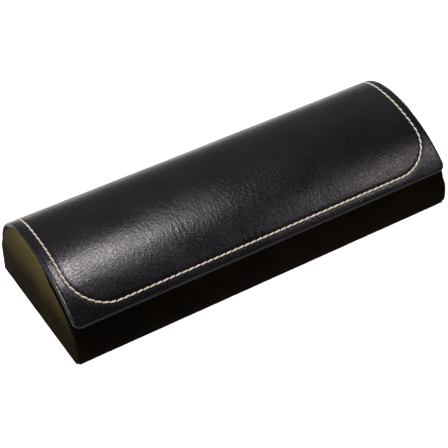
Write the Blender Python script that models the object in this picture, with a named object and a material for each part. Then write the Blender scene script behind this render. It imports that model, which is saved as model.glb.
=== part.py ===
"""A hard spectacle case: a board tray under black leather, with olive end panels and a curved magnetic lid.

X runs along the case, -Y is the front where the flap ends, +Y the hinge side and Z is up.
The origin is under the middle of the case, on the surface that it stands on.
The section is the same all along the case, so most pieces are ribbons of that section drawn out along X.
"""

import math

import bmesh
import bpy
from mathutils import Vector

MM = 0.001

# Driving sizes, in millimetres
CASE_LENGTH = 165.0
CASE_DEPTH = 60.5
GAP = 0.3  # glue line between two layers
LEATHER = 0.6
BODY_BOARD = 1.2
LID_BOARD = 0.7
LINING = 0.4
LID_SIDE_INSET = 0.9  # how far the lid's side edges stay inside the end panels

# Outer section of the lid: an upright back, a tight back arc and a long flat arc down to the flap's edge
BACK_RADIUS = 20.0
BACK_CENTRE_Z = 12.3
BACK_SWEEP = 85.2
LID_RADIUS = 54.0
LID_SWEEP = 48.07

# Outer section of the tray's front: one arc that bulges low down and leans back under the flap
FRONT_RADIUS = 21.0
FRONT_CENTRE_Z = 4.5
CORNER_RADIUS = 1.2
LIP_END_Y = -11.5

# The hinge: bare leather between the tray's back board and the lid board
HINGE_START = 14.0  # degrees round the back arc
HINGE_END = 45.0
HINGE_LOW_EDGE_Z = 8.0

MAGNET = (20.0, 7.0)
MAGNET_X = 45.0
MAGNET_ANGLE = 119.5  # degrees round the lid arc
STITCH_PITCH = 2.64
STITCH_MARGIN = 4.0
STITCH_CORNER = 16.0
THREAD = 0.6
THREAD_LIFT = 0.3
PANEL_STEPS = 14  # points on each stretch of the end panel's outline

# Derived sizes
HALF_LENGTH = CASE_LENGTH / 2
HALF_DEPTH = CASE_DEPTH / 2
LID_THICKNESS = LEATHER + GAP + LID_BOARD + GAP + LINING
LID_HALF = HALF_LENGTH - LID_SIDE_INSET
LAYER = LEATHER + GAP
TRAY_BACK_Y = HALF_DEPTH - LAYER  # the lid's leather is glued over the tray's back
RIM_DEPTH = LID_THICKNESS + GAP  # the tray's top edges lie this far under the lid's outer face
PANEL_INNER = HALF_LENGTH - LEATHER
WRAP_OUTER = PANEL_INNER - GAP
WRAP_INNER = WRAP_OUTER - LEATHER
COVER_HALF = WRAP_INNER - GAP
END_BOARD_OUTER = COVER_HALF
END_BOARD_INNER = END_BOARD_OUTER - BODY_BOARD
BOARD_HALF = END_BOARD_INNER - GAP
END_LINING_INNER = BOARD_HALF - LINING
LINING_HALF = END_LINING_INNER - GAP
BOARD_DEPTH = LAYER
BOARD_INSIDE = BOARD_DEPTH + BODY_BOARD
LINING_DEPTH = BOARD_INSIDE + GAP
LINING_INSIDE = LINING_DEPTH + LINING

BACK_CENTRE = (HALF_DEPTH - BACK_RADIUS, BACK_CENTRE_Z)
_REACH = LID_RADIUS - BACK_RADIUS
_SWEEP = math.radians(BACK_SWEEP)
LID_CENTRE = (
    BACK_CENTRE[0] - _REACH * math.cos(_SWEEP),
    BACK_CENTRE[1] - _REACH * math.sin(_SWEEP),
)
FLAP_ANGLE = BACK_SWEEP + LID_SWEEP
FRONT_CENTRE = (FRONT_RADIUS - HALF_DEPTH, FRONT_CENTRE_Z)
CORNER_REACH = FRONT_RADIUS - CORNER_RADIUS
CORNER_DROP = FRONT_CENTRE_Z - CORNER_RADIUS
FRONT_CORNER_Y = FRONT_CENTRE[0] - math.sqrt(CORNER_REACH**2 - CORNER_DROP**2)
BACK_CORNER_Y = TRAY_BACK_Y - CORNER_RADIUS
CORNER_ANGLE = 180 + math.degrees(math.asin(CORNER_DROP / CORNER_REACH))


def crossing_angles(depth):
    """Where the front arc meets the lip's arc under the flap, as an angle on each of the two arcs."""
    lip = LID_RADIUS - RIM_DEPTH - depth
    front = FRONT_RADIUS - depth
    across = LID_CENTRE[0] - FRONT_CENTRE[0]
    down = LID_CENTRE[1] - FRONT_CENTRE[1]
    apart = math.hypot(across, down)
    along = (apart**2 + front**2 - lip**2) / (2 * apart)
    aside = math.sqrt(front**2 - along**2)
    y = FRONT_CENTRE[0] + (along * across + aside * down) / apart
    z = FRONT_CENTRE[1] + (along * down - aside * across) / apart
    on_front = math.degrees(math.atan2(z - FRONT_CENTRE[1], y - FRONT_CENTRE[0]))
    on_lip = math.degrees(math.atan2(z - LID_CENTRE[1], y - LID_CENTRE[0]))
    return on_front, on_lip


def front_angle(depth, z):
    """The angle on the front arc, a given depth inside, at height z near its foot."""
    return 180 + math.degrees(math.asin((FRONT_CENTRE_Z - z) / (FRONT_RADIUS - depth)))


def lip_end_angle():
    """The lip's free edge, as an angle on the lid's arc."""
    return math.degrees(math.acos((LIP_END_Y - LID_CENTRE[0]) / (LID_RADIUS - RIM_DEPTH)))


def spot(centre, radius, degrees):
    """The (y, z) of one point on a circle, with its angle from +Y towards +Z."""
    angle = math.radians(degrees)
    return centre[0] + radius * math.cos(angle), centre[1] + radius * math.sin(angle)


def arc(centre, radius, start, end, steps):
    """Points on an arc, both ends included."""
    return [spot(centre, radius, start + (end - start) * i / steps) for i in range(steps + 1)]


def lid_section(depth, start=HINGE_END, end=FLAP_ANGLE):
    """The lid's section a given depth under its outer face, from the hinge over the top to the flap."""
    points = []
    if start < BACK_SWEEP:
        points += arc(BACK_CENTRE, BACK_RADIUS - depth, start, min(end, BACK_SWEEP), 8)
    if end > BACK_SWEEP:
        points += arc(LID_CENTRE, LID_RADIUS - depth, max(start, BACK_SWEEP), end, 14)[bool(points) :]
    return points


def front_section(depth, start, lip_end=None):
    """The tray's front a given depth inside, from an angle low on the front arc up to the lip's free edge."""
    on_front, on_lip = crossing_angles(depth)
    points = arc(FRONT_CENTRE, FRONT_RADIUS - depth, start, on_front, 10)
    lip_radius = LID_RADIUS - RIM_DEPTH - depth
    points += arc(LID_CENTRE, lip_radius, on_lip, lip_end or lip_end_angle(), 8)[1:]
    return points


def back_section(depth, foot_z):
    """The tray's back a given depth inside: upright, then round the back arc as far as the hinge."""
    foot = [(TRAY_BACK_Y - depth, foot_z)] if foot_z < BACK_CENTRE_Z else []
    return foot + arc(BACK_CENTRE, BACK_RADIUS - LAYER - depth, 0, HINGE_START, 3)


def end_section(depth):
    """The closed outline of an end of the tray, a given depth inside its outer faces."""
    on_front, on_lip = crossing_angles(depth)
    corner = max(CORNER_RADIUS - depth, 0.0)
    floor = depth + corner
    back = TRAY_BACK_Y - depth
    outline = arc((back - corner, floor), corner, 270, 360, 3) if corner else [(back, floor)]
    outline += arc(BACK_CENTRE, BACK_RADIUS - LAYER - depth, 0, HINGE_END - 1, 8)
    outline += lid_section(RIM_DEPTH + depth, HINGE_END + 1, on_lip)
    foot = CORNER_ANGLE if corner else front_angle(depth, floor)
    outline += arc(FRONT_CENTRE, FRONT_RADIUS - depth, on_front, foot, 10)[1:]
    if corner:
        outline += arc((FRONT_CORNER_Y, CORNER_RADIUS), corner, CORNER_ANGLE, 270, 3)[1:]
    return outline


def between(value, stations):
    """Straight-line interpolation in a list of (position, amount)."""
    if value <= stations[0][0]:
        return stations[0][1]
    for (left, low), (right, high) in zip(stations, stations[1:]):
        if value <= right:
            return low + (high - low) * (value - left) / (right - left)
    return stations[-1][1]


def panel_section():
    """The end panel's outline: full at the base and back, drawn in under the lid and behind the front."""
    over_back = [(0, 1.0), (15, 1.9), (31, 2.5), (45, 2.3), (60, 1.6), (BACK_SWEEP, 1.2)]
    over_top = [(BACK_SWEEP, 1.2), (100, 1.4), (105, 1.9), (109, 3.3), (112, 4.8), (130, 5.0)]
    down_front = [(136, 2.3), (150, 1.9), (159, 1.3), (168, 0.4), (190, 0.2)]
    on_front, on_lip = crossing_angles(down_front[0][1])
    outline = [(TRAY_BACK_Y - GAP, GAP), (TRAY_BACK_Y, 2 * GAP), (TRAY_BACK_Y, HINGE_LOW_EDGE_Z)]
    stretches = [
        (BACK_CENTRE, BACK_RADIUS, 0, BACK_SWEEP, over_back),
        (LID_CENTRE, LID_RADIUS, BACK_SWEEP, on_lip, over_top),
        (FRONT_CENTRE, FRONT_RADIUS, on_front, CORNER_ANGLE, down_front),
    ]
    for number, (centre, radius, start, end, insets) in enumerate(stretches):
        for i in range(1 if number else 0, PANEL_STEPS + 1):
            angle = start + (end - start) * i / PANEL_STEPS
            outline.append(spot(centre, radius - between(angle, insets), angle))
    outline.append((FRONT_CORNER_Y, GAP))
    return outline


def new_object(name, mesh_data, material):
    mesh_data.normal_update()
    mesh = bpy.data.meshes.new(name)
    mesh_data.to_mesh(mesh)
    mesh_data.free()
    mesh.materials.append(material)
    mesh.shade_smooth()
    mesh.set_sharp_from_angle(angle=math.radians(30))
    obj = bpy.data.objects.new(name, mesh)
    bpy.context.scene.collection.objects.link(obj)
    return obj


def drawn_out(name, outline, left, right, material):
    """A closed outline in the YZ plane, drawn out along X from left to right."""
    work = bmesh.new()
    face = work.faces.new([work.verts.new((left * MM, y * MM, z * MM)) for y, z in outline])
    extruded = bmesh.ops.extrude_face_region(work, geom=[face])
    moved = [v for v in extruded["geom"] if isinstance(v, bmesh.types.BMVert)]
    bmesh.ops.translate(work, verts=moved, vec=Vector(((right - left) * MM, 0, 0)))
    bmesh.ops.recalc_face_normals(work, faces=work.faces)
    return new_object(name, work, material)


def ribbon(name, outer, inner, half, material):
    """A strip between two lines of the section, centred on the case."""
    return drawn_out(name, outer + inner[::-1], -half, half, material)


def box(name, low, high, material):
    outline = [(low[1], low[2]), (high[1], low[2]), (high[1], high[2]), (low[1], high[2])]
    return drawn_out(name, outline, low[0], high[0], material)


def both_ends(name, outline, inner, outer, material):
    """The same plate at both ends of the case."""
    left = drawn_out(name + "_left", outline, -outer, -inner, material)
    right = drawn_out(name + "_right", outline, inner, outer, material)
    return left, right


def cut(target, cutter):
    """Takes the cutter's shape out of the target."""
    cutter.hide_render = True
    cutter.display_type = "WIRE"
    boolean = target.modifiers.new("cut_" + cutter.name, "BOOLEAN")
    boolean.operation = "DIFFERENCE"
    boolean.solver = "EXACT"
    boolean.object = cutter


def plate_on_lid(name, x, angle, depth, size, material):
    """A flat plate of size (x, along the section, thick) on the lid's arc, with its top face at depth."""
    work = bmesh.new()
    bmesh.ops.create_cube(work, size=1.0)
    bmesh.ops.scale(work, vec=Vector(size) * MM, verts=work.verts)
    obj = new_object(name, work, material)
    middle = LID_RADIUS - depth - size[2] / 2
    y, z = spot(LID_CENTRE, middle, angle)
    obj.location = (x * MM, y * MM, z * MM)
    obj.rotation_euler = (math.radians(angle - 90), 0, 0)
    return obj


def material(name, colour, roughness, metallic=0.0):
    made = bpy.data.materials.new(name)
    made.use_nodes = True
    shader = made.node_tree.nodes["Principled BSDF"]
    shader.inputs["Base Color"].default_value = (*colour, 1.0)
    shader.inputs["Roughness"].default_value = roughness
    shader.inputs["Metallic"].default_value = metallic
    made.diffuse_color = (*colour, 1.0)
    return made


def tray_covers(leather):
    """The leather on the tray's base, back and front."""
    corner = (BACK_CORNER_Y, CORNER_RADIUS)
    back_face = arc(corner, CORNER_RADIUS, 270, 350, 3) + back_section(0, CORNER_RADIUS)
    back_inside = arc(corner, CORNER_RADIUS - LEATHER, 270, 350, 3)
    back_inside += back_section(LEATHER, CORNER_RADIUS)
    ribbon("back_cover", back_face, back_inside, COVER_HALF, leather)

    corner = (FRONT_CORNER_Y, CORNER_RADIUS)
    front_face = arc(corner, CORNER_RADIUS, 270, CORNER_ANGLE, 3)
    front_face += front_section(0, CORNER_ANGLE)[1:]
    front_inside = arc(corner, CORNER_RADIUS - LEATHER, 270, CORNER_ANGLE, 3)
    front_inside += front_section(LEATHER, CORNER_ANGLE)[1:]
    ribbon("front_cover", front_face, front_inside, COVER_HALF, leather)

    low = (-COVER_HALF, FRONT_CORNER_Y + GAP, 0)
    box("base_cover", low, (COVER_HALF, BACK_CORNER_Y - GAP, LEATHER), leather)


def tray_boards(board):
    """The stiff boards of the tray. The front board curves back under the flap."""
    low = (-BOARD_HALF, FRONT_CORNER_Y, BOARD_DEPTH)
    box("base_board", low, (BOARD_HALF, BACK_CORNER_Y, BOARD_INSIDE), board)
    outer = back_section(BOARD_DEPTH, LINING_DEPTH)
    inner = back_section(BOARD_INSIDE, LINING_DEPTH)
    ribbon("back_board", outer, inner, BOARD_HALF, board)

    foot = front_angle(BOARD_DEPTH, LINING_DEPTH)
    outer = front_section(BOARD_DEPTH, foot)
    inner = front_section(BOARD_INSIDE, foot)
    front = ribbon("front_board", outer, inner, BOARD_HALF, board)
    for side, x in (("left", -MAGNET_X), ("right", MAGNET_X)):
        size = (MAGNET[0] + 2 * GAP, MAGNET[1] + 2 * GAP, 3 * BODY_BOARD)
        depth = RIM_DEPTH + BOARD_DEPTH - BODY_BOARD
        cut(front, plate_on_lid("pocket_tray_" + side, x, MAGNET_ANGLE, depth, size, board))
    both_ends("end_board", end_section(BOARD_DEPTH), END_BOARD_INNER, END_BOARD_OUTER, board)


def tray_linings(lining):
    """The soft lining inside the tray."""
    floor = LINING_DEPTH
    front_y = FRONT_CENTRE[0] - FRONT_RADIUS + LINING_DEPTH + GAP
    back_y = TRAY_BACK_Y - LINING_DEPTH
    low = (-LINING_HALF, front_y, floor)
    box("base_lining", low, (LINING_HALF, back_y, floor + LINING), lining)
    foot_z = floor + LINING + GAP
    outer = back_section(LINING_DEPTH, foot_z)
    inner = back_section(LINING_INSIDE, foot_z)
    ribbon("back_lining", outer, inner, LINING_HALF, lining)

    foot = front_angle(LINING_DEPTH, foot_z)
    outer = front_section(LINING_DEPTH, foot)
    inner = front_section(LINING_INSIDE, foot)
    ribbon("front_lining", outer, inner, LINING_HALF, lining)
    both_ends("end_lining", end_section(LINING_DEPTH), END_LINING_INNER, BOARD_HALF, lining)


def lid_pieces(leather, board, lining):
    """The lid: a leather cover turned down round its edges, over a curved board with a soft lining."""
    edge = math.degrees(LAYER / LID_RADIUS)
    skin_edge = math.degrees(LEATHER / LID_RADIUS)
    back = HINGE_END + math.degrees(GAP / BACK_RADIUS)
    cover = ribbon(
        "lid_cover", lid_section(0, back), lid_section(LID_THICKNESS, back), LID_HALF, leather
    )
    hollow_end = FLAP_ANGLE - skin_edge
    hollow = ribbon(
        "hollow",
        lid_section(LEATHER, back - 2, hollow_end),
        lid_section(2 * LID_THICKNESS, back - 2, hollow_end),
        LID_HALF - LEATHER,
        leather,
    )
    cut(cover, hollow)

    front = FLAP_ANGLE - edge
    half = LID_HALF - LAYER
    top = LAYER
    under = top + LID_BOARD
    shell = ribbon("lid_board", lid_section(top, back, front), lid_section(under, back, front), half, board)
    for side, x in (("left", -MAGNET_X), ("right", MAGNET_X)):
        size = (MAGNET[0] + 2 * GAP, MAGNET[1] + 2 * GAP, 3 * LID_BOARD)
        cut(shell, plate_on_lid("pocket_lid_" + side, x, MAGNET_ANGLE, top - LID_BOARD, size, board))
    outer = lid_section(under + GAP, back, front)
    inner = lid_section(LID_THICKNESS, back, front)
    ribbon("lid_lining", outer, inner, half, lining)


def magnets(steel):
    """Two thin bar magnets in the lid board and two in the tray's lip below them."""
    for side, x in (("left", -MAGNET_X), ("right", MAGNET_X)):
        plate_on_lid("lid_magnet_" + side, x, MAGNET_ANGLE, LAYER, (*MAGNET, LID_BOARD), steel)
        depth = RIM_DEPTH + BOARD_DEPTH
        plate_on_lid("tray_magnet_" + side, x, MAGNET_ANGLE, depth, (*MAGNET, BODY_BOARD), steel)


def hinge(leather, lining):
    """The bare leather that bends, glued down over the tray's back, and the lining strip inside it."""
    top = HINGE_END - math.degrees(GAP / BACK_RADIUS)
    face = [(HALF_DEPTH, HINGE_LOW_EDGE_Z)] + arc(BACK_CENTRE, BACK_RADIUS, 0, top, 8)
    back = [(HALF_DEPTH - LEATHER, HINGE_LOW_EDGE_Z)]
    back += arc(BACK_CENTRE, BACK_RADIUS - LEATHER, 0, top, 8)
    ribbon("hinge_leather", face, back, LID_HALF, leather)

    start = HINGE_START + 2 * math.degrees(GAP / BACK_RADIUS)
    depth = LINING_DEPTH + LAYER
    outer = arc(BACK_CENTRE, BACK_RADIUS - depth, start, top, 6)
    inner = arc(BACK_CENTRE, BACK_RADIUS - depth - LINING, start, top, 6)
    ribbon("hinge_lining", outer, inner, LINING_HALF, lining)


def stitch_line():
    """Points along the seam as (x, distance along the lid's section from the flap's edge).

    It runs up one side, round the flap's two corners and up the other side."""
    half = LID_HALF - STITCH_MARGIN
    reach = math.radians(FLAP_ANGLE - BACK_SWEEP) * LID_RADIUS
    reach += math.radians(BACK_SWEEP - HINGE_END) * BACK_RADIUS - STITCH_MARGIN
    side = reach - STITCH_MARGIN - STITCH_CORNER
    bend = STITCH_CORNER * math.pi / 2
    total = 2 * (side + bend + half - STITCH_CORNER)
    count = int(total / STITCH_PITCH)
    for i in range(count + 1):
        run = total * i / count
        mirrored = run > total / 2
        run = min(run, total - run)
        if run < side:
            x, s = -half, reach - run
        elif run < side + bend:
            turn = (run - side) / STITCH_CORNER
            x = -half + STITCH_CORNER * (1 - math.cos(turn))
            s = STITCH_MARGIN + STITCH_CORNER * (1 - math.sin(turn))
        else:
            x, s = -half + STITCH_CORNER + run - side - bend, STITCH_MARGIN
        yield (-x if mirrored else x), s


def stitching(thread):
    """The seam as one thread that lies on the leather."""
    front_arc = math.radians(FLAP_ANGLE - BACK_SWEEP) * LID_RADIUS
    line = []
    for x, s in stitch_line():
        if s < front_arc:
            centre, radius, angle = LID_CENTRE, LID_RADIUS, FLAP_ANGLE - math.degrees(s / LID_RADIUS)
        else:
            centre, radius = BACK_CENTRE, BACK_RADIUS
            angle = BACK_SWEEP - math.degrees((s - front_arc) / BACK_RADIUS)
        y, z = spot(centre, radius + THREAD_LIFT + THREAD / 2, angle)
        line.append((x, y, z))
    curve = bpy.data.curves.new("lid_stitching", "CURVE")
    curve.dimensions = "3D"
    curve.bevel_depth = THREAD / 2 * MM
    curve.bevel_resolution = 0
    curve.use_fill_caps = True
    spline = curve.splines.new("POLY")
    spline.points.add(len(line) - 1)
    for point, place in zip(spline.points, line):
        point.co = (*(Vector(place) * MM), 1.0)
    curve.materials.append(thread)
    bpy.context.scene.collection.objects.link(bpy.data.objects.new("lid_stitching", curve))


def main():
    for obj in list(bpy.data.objects):
        bpy.data.objects.remove(obj)
    leather = material("black_leather", (0.012, 0.010, 0.012), 0.38)
    olive = material("olive_leather", (0.045, 0.036, 0.018), 0.6)
    board = material("grey_board", (0.27, 0.23, 0.18), 0.9)
    lining = material("black_velvet", (0.016, 0.015, 0.017), 0.95)
    thread = material("ecru_thread", (0.52, 0.46, 0.37), 0.8)
    steel = material("magnet_steel", (0.55, 0.55, 0.57), 0.35, 1.0)

    tray_covers(leather)
    tray_boards(board)
    tray_linings(lining)
    both_ends("end_wrap", end_section(0), WRAP_INNER, WRAP_OUTER, leather)
    both_ends("end_panel", panel_section(), PANEL_INNER, HALF_LENGTH, olive)
    lid_pieces(leather, board, lining)
    magnets(steel)
    hinge(leather, lining)
    stitching(thread)


main()
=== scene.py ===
# %% [markdown]
# # A hard spectacle case in black leather
#
# The real case is a stiff board tray with an olive leather panel on each end. A curved lid is hinged along
# the back by its own leather, comes down over the front as a flap and is held shut by hidden magnets.
# One row of pale thread runs round the lid's edge.
#
# The solid model of the case is loaded first. It gives the true sizes and the hinge, and nothing moves it.
# Each visible skin is then modelled over it the way a case maker works: leather is cut flat, its edges are
# turned, and the flat piece is rolled round the shape below it.

import math

import bmesh
import bpy
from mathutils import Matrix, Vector, noise


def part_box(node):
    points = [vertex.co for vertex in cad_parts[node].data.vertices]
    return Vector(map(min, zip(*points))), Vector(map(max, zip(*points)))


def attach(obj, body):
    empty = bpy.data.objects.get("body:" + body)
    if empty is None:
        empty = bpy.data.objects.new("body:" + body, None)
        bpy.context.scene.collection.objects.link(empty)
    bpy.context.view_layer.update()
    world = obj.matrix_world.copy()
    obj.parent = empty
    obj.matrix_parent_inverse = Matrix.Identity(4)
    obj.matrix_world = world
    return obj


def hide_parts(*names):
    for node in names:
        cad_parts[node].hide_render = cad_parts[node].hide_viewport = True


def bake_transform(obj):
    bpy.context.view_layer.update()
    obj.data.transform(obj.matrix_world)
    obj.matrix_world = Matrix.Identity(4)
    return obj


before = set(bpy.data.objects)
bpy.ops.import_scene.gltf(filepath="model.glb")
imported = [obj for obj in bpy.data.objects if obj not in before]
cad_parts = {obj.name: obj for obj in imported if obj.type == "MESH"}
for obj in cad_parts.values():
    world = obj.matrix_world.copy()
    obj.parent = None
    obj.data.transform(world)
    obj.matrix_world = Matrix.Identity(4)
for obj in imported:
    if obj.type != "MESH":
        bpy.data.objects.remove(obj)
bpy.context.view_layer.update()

# %% [markdown]
# ## The section
#
# The case has the same section all along its length, so one drawing of that section shapes every skin.
# The lid is a tight arc at the back that runs into a long flat arc. The tray's front bulges low down and
# leans back under the flap, where it ends in a lip. The lengths come from the frame where a box can give
# them, and the radii are the design's own.

# %% Sizes of the section
MM = 0.001
HALF_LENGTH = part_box("end_panel_right")[1].x
HALF_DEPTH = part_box("hinge_leather")[1].y
LID_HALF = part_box("lid_cover")[1].x
HINGE_LOW_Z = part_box("hinge_leather")[0].z
TRAY_BACK_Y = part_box("back_cover")[1].y

BACK_RADIUS = 20 * MM
BACK_SWEEP = math.radians(85.2)
LID_RADIUS = 54 * MM
LID_SWEEP = math.radians(48.07)
FRONT_RADIUS = 21 * MM
FRONT_CENTRE_Z = 4.5 * MM
CORNER_RADIUS = 1.2 * MM
RIM_DEPTH = 2.6 * MM
LIP_END_Y = -11.5 * MM
HINGE_END = math.radians(45)

BACK_CENTRE = (HALF_DEPTH - BACK_RADIUS, 12.3 * MM)
LID_CENTRE = (
    BACK_CENTRE[0] - (LID_RADIUS - BACK_RADIUS) * math.cos(BACK_SWEEP),
    BACK_CENTRE[1] - (LID_RADIUS - BACK_RADIUS) * math.sin(BACK_SWEEP),
)
FLAP_ANGLE = BACK_SWEEP + LID_SWEEP
FRONT_CENTRE = (FRONT_RADIUS - HALF_DEPTH, FRONT_CENTRE_Z)
CORNER_DROP = FRONT_CENTRE_Z - CORNER_RADIUS
CORNER_REACH = FRONT_RADIUS - CORNER_RADIUS
FRONT_CORNER = (FRONT_CENTRE[0] - math.sqrt(CORNER_REACH**2 - CORNER_DROP**2), CORNER_RADIUS)
CORNER_ANGLE = math.pi + math.asin(CORNER_DROP / CORNER_REACH)
print("lid from flap to hinge, mm:", round((LID_RADIUS * LID_SWEEP + BACK_RADIUS * BACK_SWEEP) / MM, 1))

# %% [markdown]
# A section is a chain of arcs and straight runs. `on_section` takes a distance along the chain and a height
# above it, and says where that spot is in the YZ plane. The outer side is always on the left of the way
# the chain runs, so one rule serves the top of the lid, the front of the tray and the inside of a lip.


# %% Walk along a section
def arc(centre, radius, start, end):
    length = radius * abs(end - start)
    return {"centre": centre, "radius": radius, "start": start, "end": end, "length": length}


def straight(start, end):
    return {"from": start, "to": end, "length": math.dist(start, end)}


def on_section(section, run, height):
    """The (y, z) of a spot a distance along the section and a height above its outer side."""
    for number, piece in enumerate(section):
        if run <= piece["length"] or number == len(section) - 1:
            break
        run -= piece["length"]
    if "centre" in piece:
        clockwise = 1 if piece["end"] < piece["start"] else -1
        angle = piece["start"] - clockwise * run / piece["radius"]
        radius = piece["radius"] + clockwise * height
        return piece["centre"][0] + radius * math.cos(angle), piece["centre"][1] + radius * math.sin(angle)
    along_y = (piece["to"][0] - piece["from"][0]) / piece["length"]
    along_z = (piece["to"][1] - piece["from"][1]) / piece["length"]
    return (
        piece["from"][0] + along_y * run - along_z * height,
        piece["from"][1] + along_z * run + along_y * height,
    )


def section_length(section):
    return sum(piece["length"] for piece in section)


LID_SECTION = [
    arc(LID_CENTRE, LID_RADIUS, FLAP_ANGLE, BACK_SWEEP),
    arc(BACK_CENTRE, BACK_RADIUS, BACK_SWEEP, 0),
    straight((HALF_DEPTH, BACK_CENTRE[1]), (HALF_DEPTH, HINGE_LOW_Z)),
]
LID_RUN = section_length(LID_SECTION)
HINGE_RUN = LID_RADIUS * LID_SWEEP + BACK_RADIUS * (BACK_SWEEP - HINGE_END)
print("leather from flap edge to hinge board, mm:", round(HINGE_RUN / MM, 1))

# %% [markdown]
# ## Camera, light and floor
#
# A long lens from the front left and above shows the lid, the front and one end together. The case is
# almost black, so the lights are seen more than the leather: what reads as its shape is the reflection of
# a few soft lamps. So the lamps are placed by what they mirror in the lid, not by what they light.

# %% Camera
CAMERA_AZIMUTH = math.radians(-32.49)
CAMERA_HEIGHT = math.radians(42.84)
CAMERA_DISTANCE = 555.0 * MM
LENS = 114.49
AIM = Vector((-0.4, 3.5, 2.9)) * MM

away = Vector(
    (
        math.sin(CAMERA_AZIMUTH) * math.cos(CAMERA_HEIGHT),
        -math.cos(CAMERA_AZIMUTH) * math.cos(CAMERA_HEIGHT),
        math.sin(CAMERA_HEIGHT),
    )
)
camera_data = bpy.data.cameras.new("camera")
camera_data.lens = LENS
camera_data.sensor_width = 36
camera_data.clip_start = 0.05
camera = bpy.data.objects.new("camera", camera_data)
camera.location = away * CAMERA_DISTANCE
camera.rotation_euler = (AIM - camera.location).to_track_quat("-Z", "Y").to_euler()
bpy.context.scene.collection.objects.link(camera)
bpy.context.scene.camera = camera
print("camera stands at, mm:", [round(v / MM) for v in camera.location])


# %% [markdown]
# Three lamps make the highlights. The near one hangs low over the middle of the case, so its reflection
# lies along the left half of the lid and dies away to the right. The right one stands in front and is
# mirrored in the flap's right corner. The edge lamp, far to the left, only draws a thin line along the lid's
# turned edge, so it is hidden from matt surfaces. The side lamp is the one that lights the olive end.
#
# A bright room could do all of this, but then the leather would turn grey. Here the room is white for the
# floor, while what the leather mirrors of it is pale behind the case and dark in front, as when black flags
# stand there. That is how dark leather is kept dark in a studio.


# %% Lamps
def soft_lamp(name, place, size, radiance, colour=(1, 1, 1), shadow=True):
    """A rectangular lamp that faces the middle of the case. Its power follows from its size and radiance."""
    data = bpy.data.lights.new(name, "AREA")
    data.shape = "RECTANGLE"
    data.size, data.size_y = size
    data.energy = radiance * math.pi * size[0] * size[1]
    data.color = colour
    data.use_shadow = shadow
    lamp = bpy.data.objects.new(name, data)
    lamp.location = place
    lamp.rotation_euler = (Vector((0, 0, 0.02)) - Vector(place)).to_track_quat("-Z", "Y").to_euler()
    bpy.context.scene.collection.objects.link(lamp)
    return lamp


soft_lamp("near_lamp", (0.003, -0.007, 0.26), (0.08, 0.045), 60, (1.0, 0.94, 1.0), shadow=False)
soft_lamp("right_lamp", (0.205, -0.127, 0.24), (0.05, 0.07), 20, (1.0, 0.90, 0.95), shadow=False)
soft_lamp("side_lamp", (-0.7, 0.1, 0.8), (0.45, 0.45), 6)
edge_lamp = soft_lamp("edge_lamp", (-0.73, -0.12, 0.67), (0.26, 0.26), 50, shadow=False)
edge_lamp.visible_diffuse = False

ROOM = 0.9
MIRRORED_FRONT = 0.10
MIRRORED_BACK = 0.58
world = bpy.data.worlds.new("studio")
world.use_nodes = True
room = world.node_tree
background = room.nodes["Background"]
background.inputs["Color"].default_value = (1, 1, 1, 1)
direction = room.nodes.new("ShaderNodeSeparateXYZ")
mirrored = room.nodes.new("ShaderNodeMapRange")
mirrored.interpolation_type = "SMOOTHSTEP"
ends = {"From Min": -0.45, "From Max": 0.75, "To Min": MIRRORED_FRONT, "To Max": MIRRORED_BACK}
for socket, value in ends.items():
    mirrored.inputs[socket].default_value = value
strength = room.nodes.new("ShaderNodeMapRange")
strength.inputs["To Min"].default_value = ROOM
room.links.new(room.nodes.new("ShaderNodeTexCoord").outputs["Generated"], direction.inputs["Vector"])
room.links.new(direction.outputs["Y"], mirrored.inputs["Value"])
room.links.new(mirrored.outputs["Result"], strength.inputs["To Max"])
room.links.new(room.nodes.new("ShaderNodeLightPath").outputs["Is Glossy Ray"], strength.inputs["Value"])
room.links.new(strength.outputs["Result"], background.inputs["Strength"])
bpy.context.scene.world = world
bpy.context.scene.view_settings.view_transform = "Standard"


# %% [markdown]
# ## Materials
#
# Every finish is built from nodes, so that it can be made finer or coarser at any time. They could be linked
# one by one, at three lines each. A small helper adds a node, sets its sockets and links them, and each
# material below then reads as a short list.


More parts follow.
